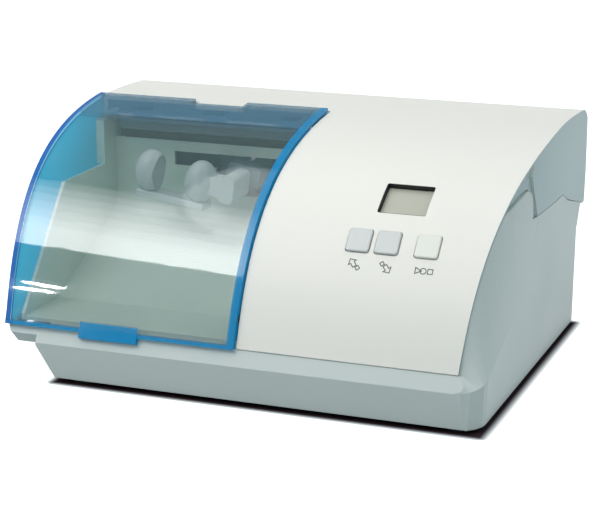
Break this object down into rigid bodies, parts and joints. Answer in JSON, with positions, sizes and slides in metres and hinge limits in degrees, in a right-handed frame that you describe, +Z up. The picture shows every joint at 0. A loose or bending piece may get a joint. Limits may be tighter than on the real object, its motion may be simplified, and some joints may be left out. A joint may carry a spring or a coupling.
{
  "type": "vibration mixer",
  "caption": "Desktop capsule mixer: white housing with a curved front, clear blue lid over a chamber with a shaking capsule fork, small display and push keys.",
  "frame": {"origin": "on the table, under the middle of the housing's outline, at the underside of the feet", "axes": "+X to the user's right along the housing's width, +Y to the rear, +Z up"},
  "size_m": [0.272, 0.2094, 0.1281],
  "materials": {
    "casing_plastic": "satin white moulding",
    "cover_plastic": "smooth white moulding",
    "foot_rubber": "matt black",
    "screw_steel": "zinc plated",
    "tray_plastic": "smooth white moulding",
    "lid_plastic": "clear blue, polished",
    "rod_steel": "ground",
    "magnet": "plain",
    "black_plastic": "fine grain",
    "lens_clear": "clear",
    "lcd_panel": "grey-green liquid crystal",
    "board": "green lacquer",
    "key_grey": "satin",
    "key_white": "satin",
    "ribbon": "flat grey cable",
    "motor_steel": "rolled",
    "cast_end": "cast",
    "bush_brass": "sintered",
    "bracket_steel": "grey paint",
    "copper": "bare",
    "hub_metal": "turned",
    "arm_plastic": "grey-blue",
    "fork_plastic": "white",
    "capacitor": "dark sleeve",
    "terminal": "green",
    "lead": "insulated wire"
  },
  "bodies": {
    "housing": {"lower_casing": "casing_plastic", "upper_cover": "cover_plastic", "rubber_feet": "foot_rubber", "foot_screws": "screw_steel", "cover_screws": "screw_steel", "tray_screws": "screw_steel", "rear_screws": "screw_steel", "chamber_tray": "tray_plastic", "hinge_rod": "rod_steel", "lid_sensor": "black_plastic", "lcd_lens": "lens_clear", "lcd_glass": "lcd_panel", "display_board": "board", "key_board": "board", "panel_screws": "screw_steel", "tact_switches": "black_plastic", "ribbon_cable": "ribbon", "motor_can": "motor_steel", "motor_bell": "cast_end", "motor_magnets": "magnet", "shaft_bushes": "bush_brass", "brush_gear": "black_plastic", "motor_bracket": "bracket_steel", "motor_dampers": "foot_rubber", "bracket_screws": "screw_steel", "motor_screws": "screw_steel", "restraint_spring": "rod_steel", "power_board": "board", "power_board_screws": "screw_steel", "transformer": "motor_steel", "capacitors": "capacitor", "heatsink": "hub_metal", "terminal_block": "terminal", "mains_inlet": "black_plastic", "inlet_pins": "copper", "inlet_screws": "screw_steel", "rocker_housing": "black_plastic", "fuse_holder": "black_plastic", "fuse_cap": "black_plastic", "mains_leads": "lead", "motor_leads": "lead"},
    "lid": {"lid": "lid_plastic", "lid_magnet": "magnet"},
    "button_up": {"button_up": "key_grey"},
    "button_down": {"button_down": "key_grey"},
    "button_start": {"button_start": "key_white"},
    "power_rocker": {"power_rocker": "black_plastic"},
    "rotor": {"rotor_shaft": "rod_steel", "armature": "motor_steel", "commutator": "copper", "cooling_fan": "black_plastic", "oblique_hub": "hub_metal", "wobble_ball": "rod_steel"},
    "shaker": {"shaker_arm": "arm_plastic", "capsule_fork": "fork_plastic", "fork_pin": "rod_steel"}
  },
  "joints": [
    {"name": "lid_hinge", "type": "hinge", "parent": "housing", "child": "lid", "pos_m": [-0.056, 0.01925, 0.119], "axis": [-1, 0, 0], "range_deg": [0, 80]},
    {"name": "rocker_tilt", "type": "hinge", "parent": "housing", "child": "power_rocker", "pos_m": [0.054, 0.09375, 0.0405], "axis": [1, 0, 0], "range_deg": [-20, 0]},
    {"name": "motor_spin", "type": "hinge", "parent": "housing", "child": "rotor", "pos_m": [0, 0.05525, 0.089], "axis": [1, 0, 0], "continuous": true},
    {"name": "shaker_swing", "type": "hinge", "parent": "housing", "child": "shaker", "pos_m": [-0.036, 0.05525, 0.089], "axis": [0, 0, 1], "range_deg": [-7, 7]},
    {"name": "button_up_press", "type": "slide", "parent": "housing", "child": "button_up", "axis": [0, 0.7318, -0.6815], "range_m": [0, 0.0007], "stiffness_N_per_m": 800},
    {"name": "button_down_press", "type": "slide", "parent": "housing", "child": "button_down", "axis": [0, 0.7318, -0.6815], "range_m": [0, 0.0007], "stiffness_N_per_m": 800},
    {"name": "button_start_press", "type": "slide", "parent": "housing", "child": "button_start", "axis": [0, 0.7318, -0.6815], "range_m": [0, 0.0007], "stiffness_N_per_m": 800}
  ]
}
